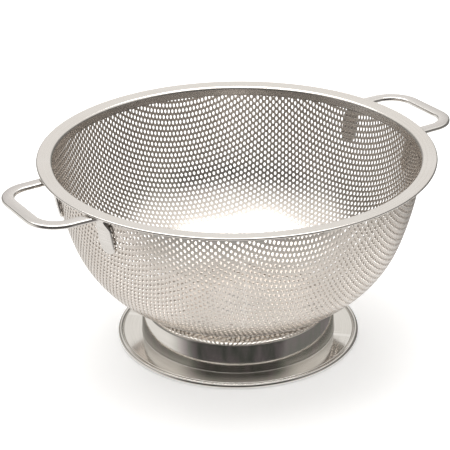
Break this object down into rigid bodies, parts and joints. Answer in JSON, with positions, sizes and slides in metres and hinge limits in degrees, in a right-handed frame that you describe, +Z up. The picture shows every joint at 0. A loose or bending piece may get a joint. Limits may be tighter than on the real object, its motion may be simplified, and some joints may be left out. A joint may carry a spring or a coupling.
{
  "type": "footed strainer",
  "caption": "Deep perforated steel bowl with a wide rim, two bar handles and a polished foot, for draining and rinsing food.",
  "frame": {"origin": "on the table under the bowl's centre, at the bottom of the foot's rolled bead", "axes": "+Z up along the bowl's axis of revolution, +X towards the right handle, so that both handles lie along X"},
  "size_m": [0.3506, 0.286, 0.1436],
  "materials": {
    "bowl_steel": "satin stainless sheet, pierced all over with fine round holes",
    "rim_steel": "plain stainless sheet, polished in circles round the rim",
    "foot_steel": "mirror-polished stainless sheet",
    "handle_steel": "polished stainless bar with softly rounded edges"
  },
  "bodies": {
    "root": {"strainer_bowl": "bowl_steel", "rim_ring": "rim_steel", "foot_ring": "foot_steel", "handle_right": "handle_steel", "handle_left": "handle_steel"}
  },
  "joints": []
}
